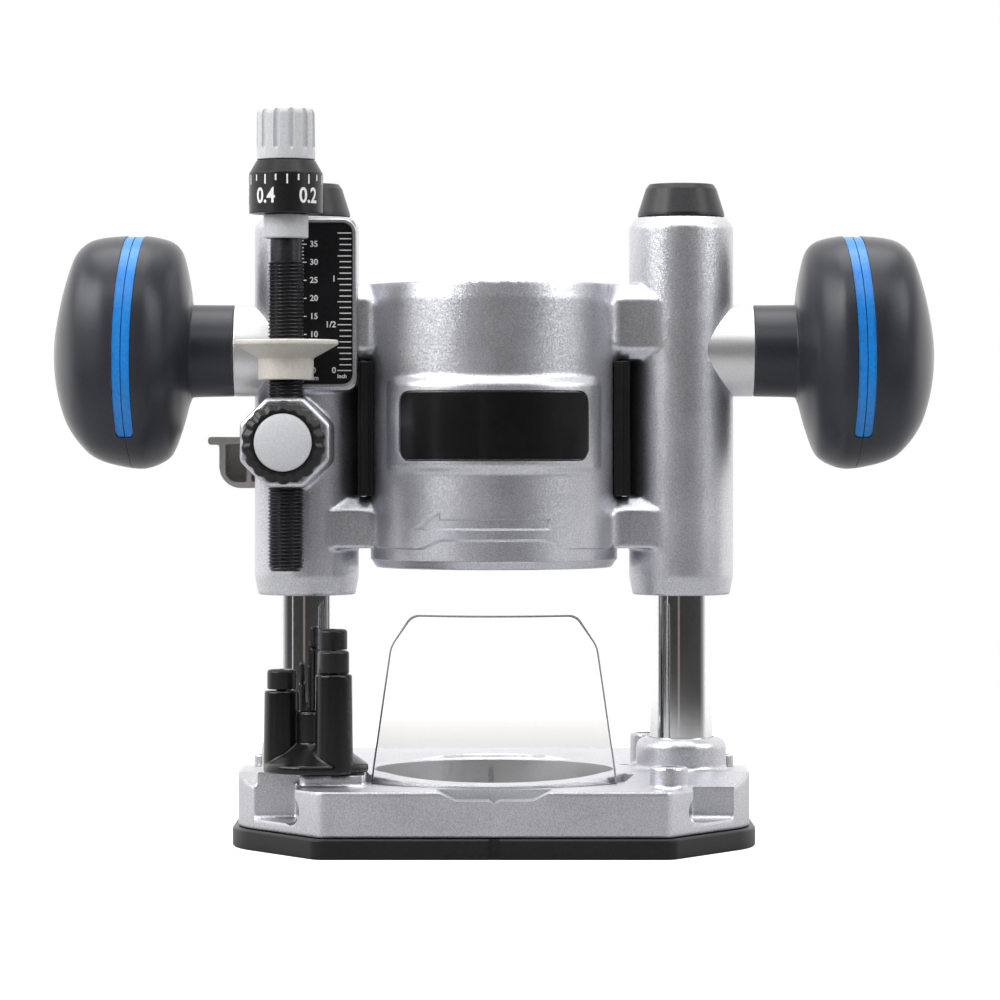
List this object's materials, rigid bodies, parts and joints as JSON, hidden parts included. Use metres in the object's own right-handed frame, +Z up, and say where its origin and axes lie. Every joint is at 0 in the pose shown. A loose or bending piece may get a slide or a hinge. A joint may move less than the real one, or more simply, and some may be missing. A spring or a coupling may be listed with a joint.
{
  "type": "plunge router base",
  "caption": "Plunge router base: split motor ring on two sprung guide posts, knob handles, threaded depth rod with fine adjuster, stop turret, clear chip shield and clamping levers.",
  "frame": {"origin": "cutter axis at the underside of the sub-base, which is the middle of the bounding box's bottom", "axes": "+Z up along the cutter axis, +X along the two handles with the depth rod at -X, -Y towards the front with the chip shield"},
  "size_m": [0.2466, 0.106, 0.2045],
  "materials": {
    "sub_base": "smooth black phenolic",
    "base_cast": "bead-blasted die casting",
    "housing_cast": "bead-blasted die casting",
    "post_chrome": "ground and hard-chromed",
    "spring_steel": "oiled spring steel",
    "zinc_steel": "zinc-plated",
    "black_steel": "black oxide",
    "rod_black": "black oxide thread",
    "clear_plastic": "clear moulded polycarbonate",
    "turret_plastic": "glossy black moulding",
    "gloss_black": "blank glossy black plate",
    "scale_black": "black plate with printed white scale",
    "insert_black": "matt black moulding",
    "bronze": "sintered bronze",
    "cap_rubber": "matt black rubber",
    "grip_rubber": "charcoal soft-touch rubber",
    "inlay_blue": "bright blue inlay",
    "lever_black": "black moulded lever",
    "knob_black": "satin black moulding with plain white numbers",
    "grey_plastic": "light grey moulding",
    "pointer_cream": "warm grey moulding"
  },
  "bodies": {
    "base": {"sub_base_plate": "sub_base", "base_casting": "base_cast", "sub_base_screw_front_left": "black_steel", "sub_base_screw_front_right": "black_steel", "sub_base_screw_back_left": "black_steel", "sub_base_screw_back_right": "black_steel", "guide_post_left": "post_chrome", "guide_post_right": "post_chrome", "post_stop_ring_left": "spring_steel", "post_stop_ring_right": "spring_steel", "post_clamp_screw_left": "zinc_steel", "post_clamp_screw_right": "zinc_steel", "chip_shield": "clear_plastic", "turret_pivot_screw": "zinc_steel", "turret_detent_ball": "spring_steel", "turret_detent_spring": "spring_steel", "plunge_spring_left": "spring_steel", "plunge_spring_right": "spring_steel"},
    "turret": {"stop_turret": "turret_plastic"},
    "low_stop": {"stop_screw_low": "black_steel"},
    "mid_stop": {"stop_screw_mid": "black_steel"},
    "high_stop": {"stop_screw_high": "black_steel"},
    "carriage": {"motor_housing": "housing_cast", "nameplate": "gloss_black", "depth_scale": "scale_black", "pocket_insert_left": "insert_black", "pocket_insert_right": "insert_black", "bush_left_lower": "bronze", "bush_left_upper": "bronze", "bush_right_lower": "bronze", "bush_right_upper": "bronze", "spring_plug_left": "zinc_steel", "spring_plug_right": "zinc_steel", "column_cap_left": "cap_rubber", "column_cap_right": "cap_rubber", "handle_left_bolt": "zinc_steel", "handle_left_inner_shell": "grip_rubber", "handle_left_outer_shell": "grip_rubber", "handle_left_inlay": "inlay_blue", "handle_right_bolt": "zinc_steel", "handle_right_inner_shell": "grip_rubber", "handle_right_outer_shell": "grip_rubber", "handle_right_inlay": "inlay_blue", "motor_clamp_bolt": "zinc_steel", "motor_clamp_nut": "zinc_steel", "brake_shoe": "bronze", "rod_pressure_pad": "bronze"},
    "motor_clamp": {"clamp_lever": "lever_black", "clamp_lever_pin": "zinc_steel"},
    "plunge_lock": {"lock_lever": "grey_plastic", "lock_lever_screw": "zinc_steel"},
    "rod_lock": {"rod_lock_knob": "knob_black", "rod_lock_cap": "grey_plastic", "rod_lock_screw": "zinc_steel"},
    "pointer": {"depth_pointer": "pointer_cream"},
    "collar": {"index_collar": "grey_plastic"},
    "rod": {"depth_rod": "rod_black", "dial_ring": "knob_black", "fine_adjust_knob": "grey_plastic"}
  },
  "joints": [
    {"name": "plunge_slide", "type": "slide", "parent": "base", "child": "carriage", "axis": [0, 0, -1], "range_m": [0, 0.0265], "stiffness_N_per_m": 1000, "springref_m": -0.04, "deforming": ["plunge_spring_left", "plunge_spring_right"]},
    {"name": "turret_turn", "type": "hinge", "parent": "base", "child": "turret", "pos_m": [-0.0488, -0.0266, 0.03], "axis": [0, 0, 1], "range_deg": [-120, 240]},
    {"name": "low_stop_screw", "type": "slide", "parent": "turret", "child": "low_stop", "axis": [0, 0, 1], "range_m": [0, 0.006]},
    {"name": "mid_stop_screw", "type": "slide", "parent": "turret", "child": "mid_stop", "axis": [0, 0, 1], "range_m": [0, 0.006]},
    {"name": "high_stop_screw", "type": "slide", "parent": "turret", "child": "high_stop", "axis": [0, 0, 1], "range_m": [0, 0.006]},
    {"name": "motor_clamp_swing", "type": "hinge", "parent": "carriage", "child": "motor_clamp", "pos_m": [0.0205, 0.041, 0.121], "axis": [0, 0, 1], "range_deg": [0, 100]},
    {"name": "plunge_lock_swing", "type": "hinge", "parent": "carriage", "child": "plunge_lock", "pos_m": [-0.0525, 0.02, 0.112], "axis": [0, -1, 0], "range_deg": [0, 50]},
    {"name": "rod_lock_turn", "type": "hinge", "parent": "carriage", "child": "rod_lock", "pos_m": [-0.0571, -0.04, 0.1122], "axis": [0, 1, 0], "range_deg": [0, 540]},
    {"name": "depth_rod_slide", "type": "slide", "parent": "carriage", "child": "pointer", "axis": [0, 0, 1], "range_m": [-0.004, 0.018]},
    {"name": "micro_adjust_feed", "type": "slide", "parent": "pointer", "child": "collar", "axis": [0, 0, 1], "range_m": [-0.001, 0.005]},
    {"name": "micro_adjust_turn", "type": "hinge", "parent": "collar", "child": "rod", "pos_m": [-0.0571, -0.0266, 0.17], "axis": [0, 0, 1], "range_deg": [-400, 1840]}
  ],
  "couplings": [
    {"joint": "micro_adjust_turn", "follows": "micro_adjust_feed", "rad_per_m": 6283.2}
  ]
}
